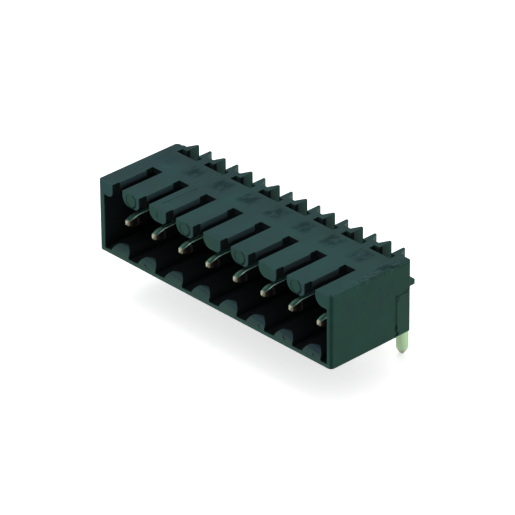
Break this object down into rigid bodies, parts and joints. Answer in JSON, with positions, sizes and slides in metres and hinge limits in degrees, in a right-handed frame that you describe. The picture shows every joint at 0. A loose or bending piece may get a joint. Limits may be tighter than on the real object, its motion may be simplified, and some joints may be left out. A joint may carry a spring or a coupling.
{
  "type": "pcb plug connector",
  "caption": "Right-angle pin header for a circuit board: a moulded shroud open at the front with keying slots and bent square pins with chamfered edges.",
  "frame": {"origin": "middle of the row of solder pins, on the surface of the circuit board", "axes": "+X along the row of pins, -Y out of the open front towards the plug, +Z away from the board"},
  "size_m": [0.0297, 0.0118, 0.0112],
  "materials": {
    "housing": "satin dark green-black glass-filled plastic",
    "contact": "bright tin plating"
  },
  "bodies": {
    "root": {"housing": "housing", "contact_pin_1": "contact", "contact_pin_2": "contact", "contact_pin_3": "contact", "contact_pin_4": "contact", "contact_pin_5": "contact", "contact_pin_6": "contact", "contact_pin_7": "contact", "contact_pin_8": "contact"}
  },
  "joints": []
}
